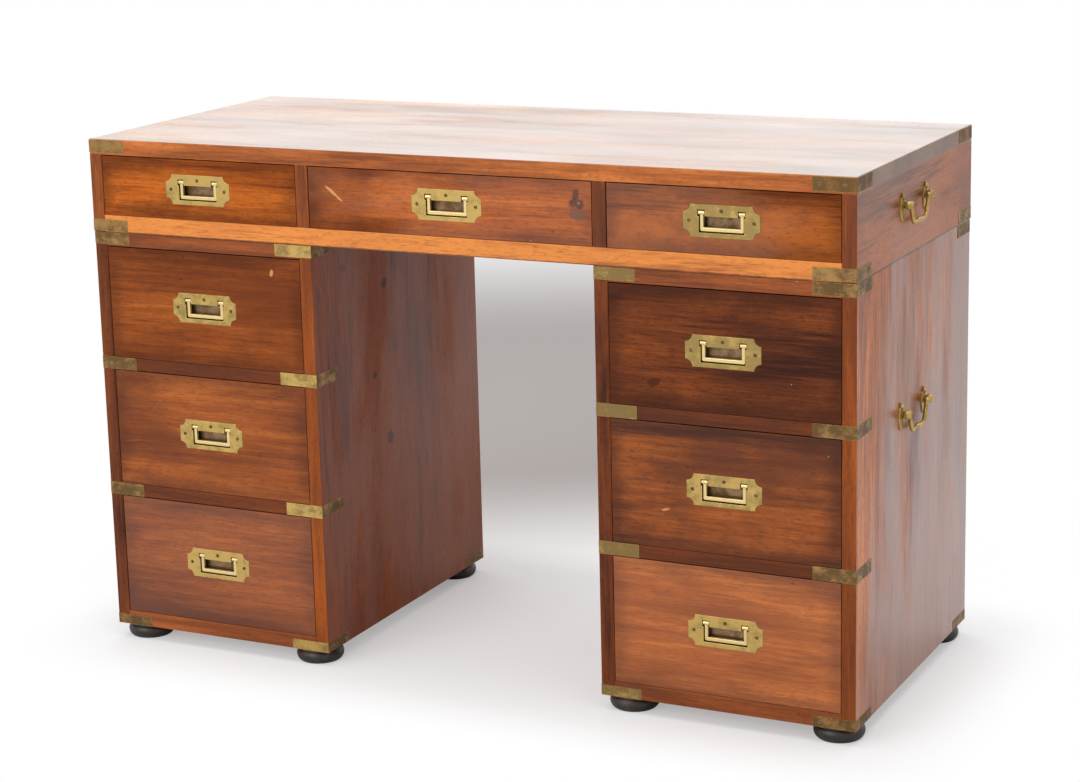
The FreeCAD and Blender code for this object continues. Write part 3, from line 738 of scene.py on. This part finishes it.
def shaded_strip(tree, place):
    """1 on the floor far behind the kneehole, where a painted grey shadow lies, fading out all round."""
    turn = math.radians(camera_azimuth)
    off_line = math_node(tree, "ABSOLUTE", along_floor(tree, place, turn))
    away = along_floor(tree, place, turn + math.pi / 2)
    behind = math_node(tree, "MULTIPLY", smooth(tree, away, *strip_start), smooth(tree, away, *strip_end))
    return math_node(tree, "MULTIPLY", smooth(tree, off_line, *strip_border), behind)


def away_from_desk(tree, place):
    """0 under the desk and 1 on the floor clear of it."""
    numbers = axes(tree, place)
    total = 0.0
    for axis in (0, 1):
        past = math_node(tree, "SUBTRACT", math_node(tree, "ABSOLUTE", numbers[axis]), desk_corner[axis])
        past = math_node(tree, "MAXIMUM", past, 0.0)
        total = math_node(tree, "MULTIPLY_ADD", past, past, total)
    return smooth(tree, math_node(tree, "SQRT", total), 0.0, shadow_reach)


def floor_material():
    """A pale floor that goes white for the camera away from the desk, keeps the shadows near it, and has a
    painted grey shadow far behind the kneehole.
    """
    material, tree = material_tree("floor_white")
    place = coordinates(tree)
    strip = shaded_strip(tree, place)
    diffuse = tree.nodes.new("ShaderNodeBsdfDiffuse")
    feed(tree, diffuse.inputs["Color"], mixed(tree, strip, floor_pale, floor_shadow_grey))
    white = tree.nodes.new("ShaderNodeEmission")
    far = math_node(tree, "MULTIPLY_ADD", away_from_desk(tree, place), 1.0 - least_white, least_white)
    far = math_node(tree, "MULTIPLY", far, math_node(tree, "SUBTRACT", 1.0, strip))
    path = tree.nodes.new("ShaderNodeLightPath")
    blend = tree.nodes.new("ShaderNodeMixShader")
    feed(tree, blend.inputs[0], math_node(tree, "MULTIPLY", far, path.outputs["Is Camera Ray"]))
    tree.links.new(diffuse.outputs[0], blend.inputs[1])
    tree.links.new(white.outputs[0], blend.inputs[2])
    output = tree.nodes.new("ShaderNodeOutputMaterial")
    tree.links.new(blend.outputs[0], output.inputs["Surface"])
    return material


def pale_floor():
    """A wide level floor under the desk."""
    bpy.ops.mesh.primitive_plane_add(size=floor_size)
    floor = bpy.context.object
    floor.name = "floor"
    floor.data.materials.append(floor_material())


def white_world():
    """Soft light from all round, seen as white by the camera and in reflections."""
    world = bpy.data.worlds.new("studio")
    bpy.context.scene.world = world
    world.use_nodes = True
    tree = world.node_tree
    background = tree.nodes["Background"]
    path = tree.nodes.new("ShaderNodeLightPath")
    seen = path.outputs["Is Camera Ray"]
    for ray in ("Is Glossy Ray", "Is Transmission Ray"):
        seen = math_node(tree, "MAXIMUM", seen, path.outputs[ray])
    strength = math_node(tree, "MULTIPLY_ADD", seen, 1.0 - world_light, world_light)
    feed(tree, background.inputs["Strength"], strength)
    feed(tree, background.inputs["Color"], (1.0, 1.0, 1.0))


def softbox(light):
    """A rectangular studio light aimed at a point."""
    data = bpy.data.lights.new(light.name, "AREA")
    data.shape = "RECTANGLE"
    data.size, data.size_y = light.size
    data.energy = light.radiance * math.pi * light.size[0] * light.size[1]
    lamp = bpy.data.objects.new(light.name, data)
    bpy.context.collection.objects.link(lamp)
    lamp.location = light.place
    aim = Vector(light.target) - Vector(light.place)
    lamp.rotation_euler = aim.to_track_quat("-Z", "Y").to_euler()


def camera():
    """The photograph's camera."""
    data = bpy.data.cameras.new("photo_camera")
    data.sensor_width = sensor_width
    data.lens = focal_pixels / image_width * sensor_width
    data.shift_y = (axis_pixel_y - image_height / 2) / image_width
    data.clip_end = sight_reach
    eye = bpy.data.objects.new("photo_camera", data)
    bpy.context.collection.objects.link(eye)
    turn = Matrix.Rotation(math.radians(camera_azimuth), 4, "Z")
    tilt = Matrix.Rotation(math.radians(90 - camera_elevation), 4, "X")
    roll = Matrix.Rotation(math.radians(camera_roll), 4, "Z")
    eye.matrix_world = Matrix.Translation(camera_place) @ turn @ tilt @ roll
    bpy.context.scene.camera = eye


def main():
    """Dresses the desk and sets up the stage."""
    dress_drawers()
    dress_top()
    dress_box()
    dress_box_front()
    dress_pedestals()
    dress_carrying_handles()
    pale_floor()
    white_world()
    for light in lights:
        softbox(light)
    camera()
    bpy.context.scene.view_settings.view_transform = "Standard"


main()
